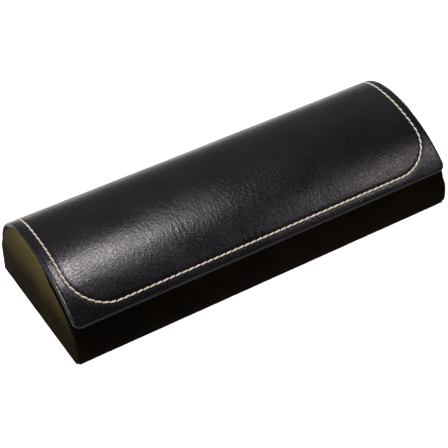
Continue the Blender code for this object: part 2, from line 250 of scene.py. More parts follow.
# %% A helper for node materials
class Finish:
    """A material under construction."""

    def __init__(self, name):
        self.material = bpy.data.materials.new(name)
        self.material.use_nodes = True
        self.nodes = self.material.node_tree.nodes
        self.links = self.material.node_tree.links
        self.shader = self.nodes["Principled BSDF"]
        self.place = self.add("ShaderNodeTexCoord").outputs["Object"]

    def add(self, kind, settings=None, **sockets):
        node = self.nodes.new(kind)
        for key, value in (settings or {}).items():
            setattr(node, key, value)
        for key, value in sockets.items():
            self.put(node, key.replace("_", " "), value)
        return node

    def put(self, node, socket, value):
        target = node.inputs[int(socket)] if socket.isdigit() else node.inputs[socket]
        if isinstance(value, bpy.types.NodeSocket):
            self.links.new(value, target)
        else:
            target.default_value = value

    def stretched(self, scale, turn=(0, 0, 0)):
        """The object's own coordinates, stretched for a pattern that runs one way."""
        node = self.add("ShaderNodeMapping", Vector=self.place, Scale=scale, Rotation=turn)
        return node.outputs["Vector"]

    def noise(self, size, detail=2.0, roughness=0.5, distortion=0.0, place=None):
        """Soft noise with blobs about size metres across."""
        node = self.add(
            "ShaderNodeTexNoise",
            Vector=place or self.place,
            Scale=1 / size,
            Detail=detail,
            Roughness=roughness,
            Distortion=distortion,
        )
        return node.outputs["Fac"]

    def cells(self, size, feature="F1", smooth=None):
        node = self.add("ShaderNodeTexVoronoi", {"feature": feature}, Vector=self.place, Scale=1 / size)
        if smooth is not None:
            node.inputs["Smoothness"].default_value = smooth
        return node.outputs["Distance"]

    def ramp(self, value, low, high, start=0.0, end=1.0):
        """Rescales a value from low..high to start..end, with soft ends."""
        node = self.add(
            "ShaderNodeMapRange", {"interpolation_type": "SMOOTHSTEP"}, Value=value,
            **{"From_Min": low, "From_Max": high, "To_Min": start, "To_Max": end},
        )
        return node.outputs["Result"]

    def maths(self, operation, *values):
        node = self.add("ShaderNodeMath", {"operation": operation})
        for number, value in enumerate(values):
            self.put(node, str(number), value)
        return node.outputs[0]

    def blend(self, amount, first, second):
        node = self.add("ShaderNodeMix", {"data_type": "RGBA"})
        for socket, value in zip((0, 6, 7), (amount, first, second)):
            self.put(node, str(socket), value)
        return node.outputs[2]

    def bump(self, height, distance, strength=1.0, under=None):
        node = self.add("ShaderNodeBump", Height=height, Distance=distance, Strength=strength)
        if under is not None:
            self.put(node, "Normal", under)
        return node.outputs["Normal"]

    def surface(self, **sockets):
        for key, value in sockets.items():
            self.put(self.shader, key.replace("_", " "), value)
        return self.material


print("a finish can use:", [tool for tool in vars(Finish) if not tool.startswith("_")])

# %% [markdown]
# ### Black leather
#
# The lid is smooth calf with a soft gloss. Three kinds of relief break up its reflections: fine pores, a
# grain of small uneven pebbles, and faint wrinkles that run across the lid where the skin was pulled round
# the board. Cells would give a sharp reptile grain, so all three are soft noise. The black is not neutral:
# it has a little violet in it. Where the attribute `edge` says that the skin is rubbed, it has less gloss.
# The tray is covered in a duller skin, so the same recipe takes its gloss and its colour as arguments.

# %% Black leather
PORES = 0.42 * MM
PEBBLES = 0.78 * MM
WRINKLES = 1.1 * MM
PATCHES = 22 * MM
WRINKLE_DEPTH = 0.12 * MM
PEBBLE_DEPTH = 0.09 * MM
PORE_DEPTH = 0.05 * MM
RUBBED = 0.6  # how much rougher a worn edge is


def black_leather(name, colours, specular, gloss, relief):
    finish = Finish(name)
    pores = finish.noise(PORES, 1.0, 0.5)
    pebbles = finish.noise(PEBBLES, 1.0, 0.5)
    across = finish.stretched((1.0, 0.4, 0.4), (0.0, 0.0, 0.3))
    wrinkles = finish.noise(WRINKLES, 1.0, 0.5, place=across)
    patches = finish.noise(PATCHES, 3.0, 0.6)
    normal = finish.bump(wrinkles, WRINKLE_DEPTH * relief, 0.7)
    normal = finish.bump(pebbles, PEBBLE_DEPTH * relief, 0.7, normal)
    normal = finish.bump(pores, PORE_DEPTH * relief, 0.7, normal)
    colour = finish.blend(finish.ramp(patches, 0.3, 0.7), colours[0], colours[1])
    shine = finish.maths(
        "ADD",
        finish.ramp(patches, 0.3, 0.7, gloss - 0.03, gloss + 0.04),
        finish.ramp(pebbles, 0.35, 0.65, 0.05, -0.03),
    )
    edge = finish.add("ShaderNodeAttribute", {"attribute_name": "edge"}).outputs["Fac"]
    shine = finish.maths("ADD", shine, finish.maths("MULTIPLY", edge, RUBBED))
    return finish.surface(Base_Color=colour, Roughness=shine, Normal=normal, Specular_IOR_Level=specular)


VIOLET_BLACK = ((0.0009, 0.0007, 0.0014, 1), (0.0020, 0.0016, 0.0028, 1))
WARM_BLACK = ((0.0012, 0.0008, 0.0004, 1), (0.0024, 0.0016, 0.0008, 1))
lid_skin = black_leather("black_leather", VIOLET_BLACK, 0.20, 0.28, 1.0)
tray_skin = black_leather("tray_leather", WARM_BLACK, 0.004, 0.5, 0.8)
print("made", lid_skin.name, "and", tray_skin.name)

# %% [markdown]
# ### Olive leather
#
# The ends are a matt split leather, olive brown. Their colour is painted paler towards the top and darker low
# down: painted light and shade for how the light falls on the upright ends. A painted map would have to be
# fitted to each panel, so this painted light comes from the height on the panel, the leather's own uneven
# tone from a slow noise, and the nap from a fine one. The grain is finer and flatter than the lid's.

# %% Olive leather
OLIVE_LOW = (0.0053, 0.0038, 0.0013, 1)
OLIVE_HIGH = (0.0600, 0.0465, 0.0185, 1)
OLIVE_NAP = (0.016, 0.012, 0.005, 1)
DARKEST_HEIGHT = 8 * MM
PALEST_HEIGHT = 34 * MM


def olive_leather():
    finish = Finish("olive_leather")
    grain = finish.cells(0.7 * MM, "SMOOTH_F1", smooth=0.8)
    nap = finish.noise(0.35 * MM, 3.0, 0.6)
    patches = finish.noise(14 * MM, 3.0, 0.55, 0.4)
    height = finish.add("ShaderNodeSeparateXYZ", Vector=finish.place).outputs["Z"]
    # painted light and shade: the colour is paler high on the panel and darker low down
    painted_top_light = finish.ramp(height, DARKEST_HEIGHT, PALEST_HEIGHT)
    tone_and_painted_light = finish.maths("MULTIPLY_ADD", finish.ramp(patches, 0.25, 0.75, -0.5, 0.5), 0.2, painted_top_light)
    colour = finish.blend(tone_and_painted_light, OLIVE_LOW, OLIVE_HIGH)
    colour = finish.blend(finish.ramp(nap, 0.3, 0.7, 0.0, 0.25), colour, OLIVE_NAP)
    normal = finish.bump(patches, 0.25 * MM, 0.4)
    normal = finish.bump(grain, 0.07 * MM, 0.6, normal)
    normal = finish.bump(nap, 0.04 * MM, 0.5, normal)
    shine = finish.ramp(patches, 0.3, 0.7, 0.55, 0.68)
    return finish.surface(Base_Color=colour, Roughness=shine, Normal=normal, Specular_IOR_Level=0.002)


olive = olive_leather()
print("made", olive.name)

# %% [markdown]
# ### Velvet
#
# Velvet is dark with a pale edge where the pile is seen side on. Hairs could be grown for that, but at this
# size they would be thousands for nothing: the shader's sheen does it, and two noises make the pile lie in
# drifts and stand in tufts.

# %% Velvet
DRIFTS = 14 * MM
PILE = 0.3 * MM
TUFTS = 0.45 * MM


def velvet():
    finish = Finish("velvet_lining")
    drift = finish.noise(DRIFTS, 2.0, 0.5, 0.3)
    pile = finish.noise(PILE, 2.0, 0.75)
    tufts = finish.cells(TUFTS, "F1")
    lay = finish.ramp(drift, 0.3, 0.7, 0.55, 1.0)
    shade = finish.maths("MULTIPLY", lay, finish.ramp(pile, 0.3, 0.7, 0.25, 1.0))
    colour = finish.blend(shade, (0.0030, 0.0025, 0.0030, 1), (0.0300, 0.0250, 0.0270, 1))
    normal = finish.bump(tufts, 0.10 * MM, 0.6)
    normal = finish.bump(pile, 0.14 * MM, 0.9, normal)
    return finish.surface(
        Base_Color=colour, Roughness=0.95, Normal=normal, Specular_IOR_Level=0.1,
        Sheen_Weight=0.30, Sheen_Roughness=0.35, Sheen_Tint=(0.62, 0.56, 0.60, 1),
    )


velvet_lining = velvet()
print("made", velvet_lining.name)

# %% [markdown]
# ### Thread
#
# The thread is waxed linen. Its fibres run along each stitch, so their pattern can't follow the object: it
# reads the stitch's own UV map, stretched along it. The same map says how deep a spot lies between the two
# plies, and there the ecru is painted darker: painted shade in the valley between them.

# %% Thread
ECRU = (0.55, 0.51, 0.40, 1)
ECRU_PAINTED_VALLEY_SHADE = (0.14, 0.11, 0.075, 1)
DRY_FIBRE = (0.42, 0.35, 0.26, 1)
GRIME = (0.30, 0.25, 0.19, 1)


def linen_thread():
    finish = Finish("thread")
    own = finish.add("ShaderNodeUVMap", {"uv_map": "along"}).outputs["UV"]
    split = finish.add("ShaderNodeSeparateXYZ", Vector=own)
    fibres = finish.add(
        "ShaderNodeTexNoise",
        Vector=finish.add("ShaderNodeMapping", Vector=own, Scale=(2.0, 26.0, 1.0)).outputs["Vector"],
        Scale=1.0, Detail=3.0, Roughness=0.6,
    ).outputs["Fac"]
    # painted shade: the valley between the two plies is coloured darker than the ecru on top
    painted_valley_shade = finish.ramp(split.outputs["Y"], 0.0, 1.0)
    grime = finish.noise(6 * MM, 2.0)
    colour = finish.blend(painted_valley_shade, ECRU_PAINTED_VALLEY_SHADE, ECRU)
    colour = finish.blend(finish.ramp(fibres, 0.35, 0.65, 0.0, 0.35), colour, DRY_FIBRE)
    colour = finish.blend(finish.ramp(grime, 0.45, 0.75, 0.0, 0.3), colour, GRIME)
    normal = finish.bump(fibres, 0.05 * MM, 0.6)
    return finish.surface(
        Base_Color=colour, Roughness=0.62, Normal=normal, Specular_IOR_Level=0.35, Sheen_Weight=0.2
    )


thread = linen_thread()
print("made", thread.name)

# %% [markdown]
# ### Board and nickel
#
# Under the leather are stiff boards of pressed pulp, dyed black right through so that no light edge shows
# where two skins meet, with paler flecks in it. The bar magnets are nickel plate, brushed one way. The solid
# model's own boards and magnets are good as they are, so they only get these two finishes.

# %% Board and nickel
BLACK_PULP = (0.030, 0.028, 0.026, 1)
THIN_PULP = (0.062, 0.058, 0.053, 1)
PALE_FLECK = (0.110, 0.103, 0.094, 1)
NICKEL = ((0.50, 0.48, 0.45, 1), (0.66, 0.64, 0.60, 1))


def black_board():
    finish = Finish("stiff_board")
    pulp = finish.noise(1.6 * MM, 4.0, 0.65)
    flecks = finish.ramp(finish.cells(1.1 * MM), 0.05, 0.16, 1.0, 0.0)
    colour = finish.blend(pulp, BLACK_PULP, THIN_PULP)
    colour = finish.blend(flecks, colour, PALE_FLECK)
    return finish.surface(Base_Color=colour, Roughness=0.9, Normal=finish.bump(pulp, 0.1 * MM, 0.5))


def nickel():
    finish = Finish("magnet")
    brushed = finish.noise(0.3 * MM, 2.0, 0.6, place=finish.stretched((0.03, 1.0, 1.0)))
    colour = finish.blend(brushed, NICKEL[0], NICKEL[1])
    shine = finish.ramp(brushed, 0.3, 0.7, 0.24, 0.4)
    return finish.surface(
        Base_Color=colour, Metallic=1.0, Roughness=shine, Normal=finish.bump(brushed, 0.01 * MM, 0.4)
    )


stiff_board = black_board()
magnet = nickel()
for name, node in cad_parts.items():
    if "_board" in name or "_magnet" in name:
        for material_slot in node.material_slots:
            material_slot.material = stiff_board if "_board" in name else magnet
print("made", stiff_board.name, "and", magnet.name)


# %% [markdown]
# ## Cutting and turning leather
#
# A case maker cuts a skin flat, turns its edges and pulls it round the board. A lid could also be a bent slab
# with a bevel, but it would have neither the turned edge nor the even grid that keeps a stitch line crisp. So
# a flat grid is the sheet of leather. Its rows and columns are not all alike: those near an edge are close
# together and carry a note of where they go when that edge is turned over the board. `cut_sheet` makes the
# grid with one operator and then moves each vertex to where its row and column say.


# %% Cut a sheet and roll it
def cut_sheet(columns, rows, place, worn=None):
    """A grid with one vertex for each column and row, moved to place(column, row) = (x, run, height).

    worn(column, row), from 0 to 1, is how far the leather's face has lost its polish there."""
    sheet = bmesh.new()
    bmesh.ops.create_grid(sheet, x_segments=len(columns) - 1, y_segments=len(rows) - 1, size=1.0)
    edge = sheet.verts.layers.float.new("edge")
    for vertex in sheet.verts:
        column = columns[round((vertex.co.x + 1) / 2 * (len(columns) - 1))]
        row = rows[round((vertex.co.y + 1) / 2 * (len(rows) - 1))]
        vertex.co = place(column, row)
        vertex[edge] = worn(column, row) if worn else 0.0
    return sheet


def roll(shape, section):
    """Takes a flat shape, with run along Y and height along Z, and rolls it round a section."""
    for vertex in shape.verts:
        y, z = on_section(section, vertex.co.y, vertex.co.z)
        vertex.co = (vertex.co.x, y, z)
    return shape


def as_object(name, shape, material, sharp=None):
    mesh = bpy.data.meshes.new(name)
    shape.to_mesh(mesh)
    shape.free()
    mesh.materials.append(material)
    mesh.shade_smooth()
    if sharp is not None:
        mesh.set_sharp_from_angle(angle=math.radians(sharp))
    obj = bpy.data.objects.new(name, mesh)
    bpy.context.scene.collection.objects.link(obj)
    return obj


def thicken(obj, thickness, even=True):
    """Gives a skin its thickness, inwards from the modelled face."""
    solidify = obj.modifiers.new("thickness", "SOLIDIFY")
    solidify.thickness = thickness
    solidify.offset = -1
    solidify.use_even_offset = even
    return obj


def spread(start, end, spacing):
    """Evenly spaced values from start to end, about a spacing apart."""
    steps = max(1, round(abs(end - start) / spacing))
    return [start + (end - start) * i / steps for i in range(steps + 1)]


print("a run of 10 mm, cut every 2.5 mm, has", len(spread(0, 10 * MM, 2.5 * MM)), "lines")

# %% [markdown]
# ### The lid's leather
#
# One piece covers the lid, bends at the hinge and is glued down the back of the tray. Round the lid its
# edge is turned over the board: out flat, down in a half round and back underneath. `EDGE` lists those
# stages for the last few rows and columns. The front corners are rounded, so there the rows and columns
# fan out round the corner's centre.

# %% Stages of the turned edge
EDGE_MARGIN = 3.0 * MM  # from the core of the sheet to the finished edge, and the corner's radius
LID_EDGE_RADIUS = 1.15 * MM
HINGE_EDGE_RADIUS = 0.48 * MM
THINNING = 3.0 * MM  # the length over which the one becomes the other
TURNED_UNDER = 0.8  # how far back the turned leather goes, as a share of the way it came
EDGE = (
    [("flat", share) for share in (0.4, 0.8, 1.0)]
    + [("round", share / 8) for share in range(1, 9)]
    + [("under", share) for share in (0.35, TURNED_UNDER)]
)


def edge_radius(run):
    """The turned edge is thick round the lid board and thin where the bare leather bends."""
    share = min(max((run - HINGE_RUN + 0.5 * THINNING) / THINNING, 0), 1)
    share = share * share * (3 - 2 * share)
    return LID_EDGE_RADIUS + (HINGE_EDGE_RADIUS - LID_EDGE_RADIUS) * share


def turned(stage, radius):
    """How far out of the core, and how high, a line of a turned edge lies."""
    if stage is None:
        return 0.0, 0.0
    kind, share = stage
    flat = EDGE_MARGIN - radius
    if kind == "flat":
        return flat * share, 0.0
    if kind == "round":
        turn = math.pi * share
        return flat + radius * math.sin(turn), radius * (math.cos(turn) - 1)
    return flat * (1 - share), -2 * radius


print("stages of the turned edge:", len(EDGE))

# %% [markdown]
# ### Where the seam runs
#
# One row of stitching runs up both sides and along the flap, with round corners. It could be drawn as a curve
# and pulled on to the lid, but the leather has to know the line too: the thread pulls the skin down into a
# shallow groove with a dimple at each hole. So two short functions describe it, and both pieces use them.

# %% The stitch line
STITCH_MARGIN = 4.0 * MM
STITCH_CORNER = 16.0 * MM
STITCH_PITCH = 2.64 * MM
STITCH_HALF = LID_HALF - STITCH_MARGIN
SEAM_END_RUN = HINGE_RUN - STITCH_MARGIN
SEAM_SIDE = SEAM_END_RUN - STITCH_MARGIN - STITCH_CORNER
SEAM_BEND = STITCH_CORNER * math.pi / 2
SEAM_HALF = SEAM_SIDE + SEAM_BEND + STITCH_HALF - STITCH_CORNER
STITCHES = 2 * round(SEAM_HALF / STITCH_PITCH)


def seam_spot(run):
    """(x, run on the lid, heading) a distance along the seam, from its end by the hinge at the left."""
    mirrored = run > SEAM_HALF
    run = min(run, 2 * SEAM_HALF - run)
    if run < SEAM_SIDE:
        x, back, heading = -STITCH_HALF, SEAM_END_RUN - run, -math.pi / 2
    elif run < SEAM_SIDE + SEAM_BEND:
        turn = (run - SEAM_SIDE) / STITCH_CORNER
        x = -STITCH_HALF + STITCH_CORNER * (1 - math.cos(turn))
        back = STITCH_MARGIN + STITCH_CORNER * (1 - math.sin(turn))
        heading = turn - math.pi / 2
    else:
        x = -STITCH_HALF + STITCH_CORNER + run - SEAM_SIDE - SEAM_BEND
        back, heading = STITCH_MARGIN, 0.0
    return (-x, back, -heading) if mirrored else (x, back, heading)


def seam_distance(x, run):
    """(distance from the seam, distance along it) of a spot on the flat lid leather."""
    across = abs(x) - (STITCH_HALF - STITCH_CORNER)
    ahead = STITCH_MARGIN + STITCH_CORNER - run
    if across > 0 and ahead > 0:
        turn = math.atan2(ahead, across)
        return math.hypot(across, ahead) - STITCH_CORNER, SEAM_SIDE + STITCH_CORNER * turn
    if ahead > 0:
        return STITCH_MARGIN - run, SEAM_SIDE + SEAM_BEND - across
    past_end = max(run - SEAM_END_RUN, 0)
    return math.hypot(abs(x) - STITCH_HALF, past_end), SEAM_END_RUN - run


print("stitches:", STITCHES)

# %% [markdown]
# A groove of about a fifth of a millimetre is enough: it catches the light on one side and goes dark on the
# other. The board also telegraphs through the leather a little, as very low and wide waves. Both are real
# relief and not bump, because they have to show at the edge of a highlight.


# %% Relief of the lid's leather
GROOVE_DEPTH = 0.13 * MM
GROOVE_WIDTH = 0.55 * MM
HOLE_DEPTH = 0.14 * MM
MARGIN_PUFF = 0.03 * MM  # the skin swells a little on both sides of the groove
PUFF_APART = 1.9 * MM
PUFF_WIDTH = 1.0 * MM
WAVES = 0.07 * MM


def lid_relief(x, run):
    away_from, along = seam_distance(x, run)
    groove = math.exp(-((away_from / GROOVE_WIDTH) ** 2))
    holes = 0.5 + 0.5 * math.cos(2 * math.pi * along * STITCHES / (2 * SEAM_HALF))
    puff = math.exp(-(((abs(away_from) - PUFF_APART) / PUFF_WIDTH) ** 2))
    wide = noise.noise(Vector((x * 55, run * 80, 0.3)))
    narrow = noise.noise(Vector((x * 130, run * 170, 5.1)))
    pulled_in = groove * (GROOVE_DEPTH + HOLE_DEPTH * holes)
    return WAVES * (wide + 0.5 * narrow) + MARGIN_PUFF * puff - pulled_in


print("groove at a hole, mm:", round((GROOVE_DEPTH + HOLE_DEPTH) / MM, 2))

# %% [markdown]
# Now the sheet can be laid out and rolled. At a rounded corner a vertex belongs to a row and to a column that
# are both turned: the later of the two stages wins, and their ranks say where on the corner's fan it lies.
# Solidify then gives the skin its thickness inwards. The one piece covers the case below the hinge and the
# lid above it.

# %% Shape the lid's leather
SKIN = 0.45 * MM
SPACING = 0.66 * MM
PARED_WIDTH = 1.6 * MM  # the lower edge is pared thin and lies down on the tray's back
PARED_DROP = 0.42 * MM
POLISHED_SIDE = 6  # the stages of the turned edge that keep their gloss
POLISHED_FLAP = 3
CORE_HALF = LID_HALF - EDGE_MARGIN

core_columns = [(x, None) for x in spread(-CORE_HALF, CORE_HALF, SPACING)]
left_edge = [(-CORE_HALF, stage) for stage in reversed(EDGE)]
right_edge = [(CORE_HALF, stage) for stage in EDGE]
lid_columns = left_edge + core_columns + right_edge
front_edge = [(EDGE_MARGIN, stage) for stage in reversed(EDGE)]
lid_rows = front_edge + [(run, None) for run in spread(EDGE_MARGIN, LID_RUN, SPACING)]


def lid_leather_spot(column, row):
    (x, side), (run, front) = column, row
    radius = edge_radius(run)
    stage = max((side, front), key=lambda s: EDGE.index(s) if s else -1)
    out, height = turned(stage, radius)
    if side and front:
        ranks = [EDGE.index(side) + 1, EDGE.index(front) + 1]
        swing = math.pi / 4 * min(ranks) / max(ranks)
        if ranks[1] > ranks[0]:
            swing = math.pi / 2 - swing
        across, ahead = out * math.cos(swing), out * math.sin(swing)
    else:
        across, ahead = (out, 0.0) if side else (0.0, out)
    x += math.copysign(across, x)
    run -= ahead
    if stage is None or stage[0] == "flat":
        height += lid_relief(x, run)
    pared = min(max((run - LID_RUN + PARED_WIDTH) / PARED_WIDTH, 0), 1)
    return x, run, height - PARED_DROP * pared**2


def lid_leather_wear(column, row):
    """The turned edge is rubbed dull, most along the flap, which the fingers lift."""
    worn = 0.0
    for stage, polished in ((column[1], POLISHED_SIDE), (row[1], POLISHED_FLAP)):
        rank = EDGE.index(stage) + 1 if stage else 0
        worn = max(worn, min(max(rank - polished, 0) / 3, 1))
    return worn


shape = roll(cut_sheet(lid_columns, lid_rows, lid_leather_spot, lid_leather_wear), LID_SECTION)
lid_leather = as_object("lid_leather", shape, lid_skin)
thicken(lid_leather, SKIN)
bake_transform(lid_leather)
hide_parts("lid_cover", "hinge_leather")
print("lid leather:", len(lid_leather.data.polygons), "faces before its thickness")

# %% [markdown]
# ### The thread
#
# Each stitch is a short length of two-ply thread that comes out of one hole and goes into the next, lying
# a little askew as hand stitching does. A single swept cord with a dashed texture would look printed, so each
# stitch is a body of its own. It is made from a cylinder cut into rings. Its section is a figure of eight
# that turns along its length, so the two plies show, and it thins out and dives at both ends.

# %% One stitch
THREAD_RADIUS = 0.30 * MM
THREAD_LIFT = 0.08 * MM
STITCH_DIVE = 0.42 * MM
STITCH_SLANT = 0.15 * MM
STITCH_LENGTH = 1.06
PLY_TURNS = 1.6
PLY_DEPTH = 0.20
TAPER_POWER = 3.2  # the higher, the later a stitch thins out
DIVE_POWER = 3.5
SIDES = 10
RINGS = 9


def cylinder_of_rings():
    """A cylinder of length 1 along X, from -0.5 to 0.5, with a UV map along it and between its plies."""
    shape = bmesh.new()
    bmesh.ops.create_cone(shape, segments=SIDES, radius1=1, radius2=1, depth=1, cap_ends=True)
    lengthways = [edge for edge in shape.edges if abs(edge.verts[0].co.z - edge.verts[1].co.z) > 0.5]
    bmesh.ops.subdivide_edges(shape, edges=lengthways, cuts=RINGS - 2, use_grid_fill=True)
    own = shape.loops.layers.uv.new("along")
    for face in shape.faces:
        for loop in face.loops:
            along = loop.vert.co.z
            turn = math.atan2(loop.vert.co.y, loop.vert.co.x)
            ply = 0.5 + 0.5 * math.cos(2 * (turn - 2 * math.pi * PLY_TURNS * along))
            loop[own].uv = (along, ply)
    return shape


def stitch_spot(vertex, along, pitch):
    """Where a vertex of the cylinder goes on a stitch of this pitch: (along, aside, height)."""
    share = vertex.z
    turn = math.atan2(vertex.y, vertex.x)
    taper = math.sqrt(max(1 - abs(2 * share) ** TAPER_POWER, 0.05))
    plies = 1 + PLY_DEPTH * math.cos(2 * (turn - 2 * math.pi * PLY_TURNS * share))
    radius = THREAD_RADIUS * taper * plies
    dive = STITCH_DIVE * abs(2 * share) ** DIVE_POWER
    return (
        along + share * pitch * STITCH_LENGTH,
        radius * math.cos(turn) + 2 * share * STITCH_SLANT,
        radius * math.sin(turn) + THREAD_LIFT - dive,
    )


pitch = 2 * SEAM_HALF / STITCHES
print("each stitch is, mm:", round(pitch * STITCH_LENGTH / MM, 2))

# %% [markdown]
# Sewing is copying: the one stitch is read into a single mesh again and again, and each copy is moved to its
# place and turned to its heading on the flat leather. The whole seam is then rolled on to the lid with the
# same section as the leather, so that it lies in its groove. It moves with the lid.

# %% Sew the seam
template = cylinder_of_rings()
one_stitch = bpy.data.meshes.new("one_stitch")
template.to_mesh(one_stitch)
template.free()

seam = bmesh.new()
for number in range(STITCHES):
    first = len(seam.verts)
    seam.from_mesh(one_stitch)
    seam.verts.ensure_lookup_table()
    for vertex in seam.verts[first:]:
        along, aside, height = stitch_spot(vertex.co, (number + 0.5) * pitch, pitch)
        x, run, heading = seam_spot(min(max(along, 0), 2 * SEAM_HALF))
        vertex.co = (x - aside * math.sin(heading), run + aside * math.cos(heading), height)
roll(seam, LID_SECTION)
bmesh.ops.recalc_face_normals(seam, faces=seam.faces)
bpy.data.meshes.remove(one_stitch)
stitching = as_object("lid_stitching_thread", seam, thread)
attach(stitching, "lid")
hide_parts("lid_stitching")
print("thread:", STITCHES, "stitches,", len(stitching.data.polygons), "faces")

# %% [markdown]
# ## The tray's leather
#
# The tray is covered by three skins: one up the front and over the lip, one up the back, and one under
# the base. All of them run the full length of the case and are turned on to its ends. A single wrapped skin
# would be simpler, but a maker can't pull one piece round the lip and the back at once. They are made like
# the lid: a grid is laid out flat and rolled along the piece's own section, which here is a chain of
# arcs. Where a skin goes over the edge of the board and back inside, the section makes a tight half circle.

# %% Sections of the tray's skins
LIP_RADIUS = LID_RADIUS - RIM_DEPTH
LIP_ANGLE = math.acos((LIP_END_Y - LID_CENTRE[0]) / LIP_RADIUS)
TURN_RADIUS = 1.2 * MM  # half the thickness of a covered board
BACK_SKIN_RADIUS = BACK_RADIUS - (HALF_DEPTH - TRAY_BACK_Y)
HINGE_START = math.radians(14)
BACK_CORNER = (TRAY_BACK_Y - CORNER_RADIUS, CORNER_RADIUS)
BASE_MARGIN = 2.4 * MM
TURN_IN = 3.6 * MM


def polar(centre, radius, angle):
    return centre[0] + radius * math.cos(angle), centre[1] + radius * math.sin(angle)


def crossing(depth):
    """Where the front's arc meets the lip's arc, a given depth inside, as an angle on each of them."""
    lip, front = LIP_RADIUS - depth, FRONT_RADIUS - depth
    across, down = LID_CENTRE[0] - FRONT_CENTRE[0], LID_CENTRE[1] - FRONT_CENTRE[1]
    apart = math.hypot(across, down)
    along = (apart**2 + front**2 - lip**2) / (2 * apart)
    aside = math.sqrt(front**2 - along**2)
    y = FRONT_CENTRE[0] + (along * across + aside * down) / apart
    z = FRONT_CENTRE[1] + (along * down - aside * across) / apart
    on_front = math.atan2(z - FRONT_CENTRE[1], y - FRONT_CENTRE[0])
    return on_front, math.atan2(z - LID_CENTRE[1], y - LID_CENTRE[0])


ON_FRONT, ON_LIP = crossing(0)
LIP_TURN = polar(LID_CENTRE, LIP_RADIUS - TURN_RADIUS, LIP_ANGLE)
LIP_UNDER = LIP_RADIUS - 2 * TURN_RADIUS
FRONT_SKIN = [
    straight((FRONT_CORNER[0] + BASE_MARGIN, 0), (FRONT_CORNER[0], 0)),
    arc(FRONT_CORNER, CORNER_RADIUS, 1.5 * math.pi, CORNER_ANGLE),
    arc(FRONT_CENTRE, FRONT_RADIUS, CORNER_ANGLE, ON_FRONT),
    arc(LID_CENTRE, LIP_RADIUS, ON_LIP, LIP_ANGLE),
    arc(LIP_TURN, TURN_RADIUS, LIP_ANGLE, LIP_ANGLE - math.pi),
    arc(LID_CENTRE, LIP_UNDER, LIP_ANGLE, LIP_ANGLE + TURN_IN / LIP_UNDER),
]
BACK_TURN = polar(BACK_CENTRE, BACK_SKIN_RADIUS - TURN_RADIUS, HINGE_START)
BACK_SKIN = [
    arc(BACK_CENTRE, BACK_SKIN_RADIUS - 2 * TURN_RADIUS, 0, HINGE_START),
    arc(BACK_TURN, TURN_RADIUS, HINGE_START + math.pi, HINGE_START),
    arc(BACK_CENTRE, BACK_SKIN_RADIUS, HINGE_START, 0),
    straight((TRAY_BACK_Y, BACK_CENTRE[1]), (TRAY_BACK_Y, CORNER_RADIUS)),
    arc(BACK_CORNER, CORNER_RADIUS, 0, -math.pi / 2),
    straight((BACK_CORNER[0], 0), (BACK_CORNER[0] - BASE_MARGIN, 0)),
]
SEAM_GAP = 0.12 * MM
BASE_SKIN = [
    straight(
        (BACK_CORNER[0] - BASE_MARGIN - SEAM_GAP, 0), (FRONT_CORNER[0] + BASE_MARGIN + SEAM_GAP, 0)
    )
]
print("front skin, mm:", round(section_length(FRONT_SKIN) / MM, 1))

# %% [markdown]
# Rows follow the section: they are close together round a tight arc and wider apart on the flats. The
# last few rows at a cut edge dip, so the edge is rounded over as pared leather is. Columns at both ends
# turn a quarter circle and go in over the end of the case.

# %% Rows and columns of a tray skin
SIDE_RADIUS = 0.5 * MM
SIDE_FLANGE = 0.5 * MM
CUT_ROUND = 0.3 * MM
TRAY_WAVES = 0.05 * MM
ROWS_ROUND_AN_ARC = 0.22  # the step between rows, as a share of the arc's radius
SIDE_STAGES = [("round", share / 5) for share in range(1, 6)] + [("down", 0.5), ("down", 1.0)]


def section_rows(section, spacing):
    """Distances along a section, closer together where it bends tightly, with extra ones at both ends."""
    total = section_length(section)
    runs = {0.15 * CUT_ROUND, 0.5 * CUT_ROUND, CUT_ROUND}
    runs |= {total - run for run in runs}
    start = 0.0
    for piece in section:
        step = min(spacing, ROWS_ROUND_AN_ARC * piece.get("radius", 1.0))
        inner = spread(start, start + piece["length"], step)
        runs |= {run for run in inner if CUT_ROUND < run < total - CUT_ROUND}
        start += piece["length"]
    return sorted(runs | {0.0, total})


def side_columns(half, spacing):
    core = [(x, None) for x in spread(-half, half, spacing)]
    return [(-half, s) for s in reversed(SIDE_STAGES)] + core + [(half, s) for s in SIDE_STAGES]


def tray_skin_piece(name, section, node, spacing=1.3 * MM):
    """A skin that follows a section, turned on to both ends of the case, glued to one board."""
    total = section_length(section)
    half = LID_HALF - SIDE_RADIUS

    def place(column, row):
        x, stage = column
        edge = min(row, total - row, CUT_ROUND) / CUT_ROUND
        height = -CUT_ROUND * (1 - math.sqrt(1 - (1 - edge) ** 2))
        if stage is None:
            wave = noise.noise(Vector((x * 70, row * 90, total * 400)))
            return x, row, height + TRAY_WAVES * (wave - 1) * edge
        kind, share = stage
        if kind == "round":
            turn = share * math.pi / 2
            out, down = SIDE_RADIUS * math.sin(turn), SIDE_RADIUS * (math.cos(turn) - 1)
        else:
            out, down = SIDE_RADIUS, -SIDE_RADIUS - SIDE_FLANGE * share
        return math.copysign(half + out, x), row, height + down

    columns = side_columns(half, spacing)
    shape = roll(cut_sheet(columns, section_rows(section, spacing), place), section)
    piece = thicken(as_object(name, shape, tray_skin), SKIN)
    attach(piece, "case")
    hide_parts(node)


for side, section in (("front", FRONT_SKIN), ("back", BACK_SKIN), ("base", BASE_SKIN)):
    tray_skin_piece(side + "_leather", section, side + "_cover")

# %% [markdown]
# ## The ends
#
# Each end of the tray is a board wrapped in black leather, with an olive panel glued over it. Both are flat
# and have an outline of arcs, so rolling is of no use here. The outline is drawn as one face and extruded
# to a plate, and its rims are rounded with a bevel. The wrapper is then hollowed by Solidify, so that the
# board fits inside.


# %% Draw an outline out to a plate
def curve_points(centre, radius, start, end, spacing=1.2 * MM):
    steps = max(3, round(abs(end - start) * radius / spacing))
    return [polar(centre, radius, start + (end - start) * i / steps) for i in range(steps + 1)]


